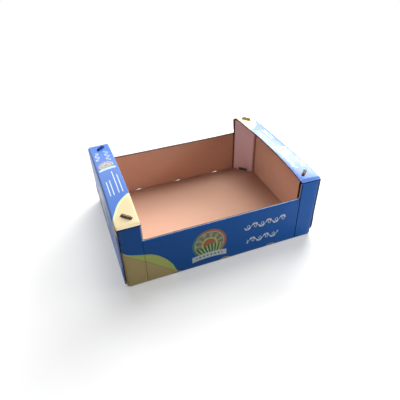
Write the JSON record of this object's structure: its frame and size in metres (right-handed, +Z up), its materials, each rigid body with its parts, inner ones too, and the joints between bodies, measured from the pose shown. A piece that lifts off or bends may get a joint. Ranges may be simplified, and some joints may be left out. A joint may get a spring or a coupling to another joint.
{
  "type": "cardboard tray box",
  "caption": "Open stackable produce tray folded from corrugated board, with low long sides, tall ends with top shelves, hollow corner posts and stacking tabs.",
  "frame": {"origin": "middle of the footprint, on the floor", "axes": "+X along the long sides, +Y across to the other long side, +Z up"},
  "size_m": [0.4, 0.3, 0.1554],
  "materials": {
    "printed_board": "gloss print outside, kraft inside"
  },
  "bodies": {
    "root": {"tray": "printed_board"}
  },
  "joints": []
}
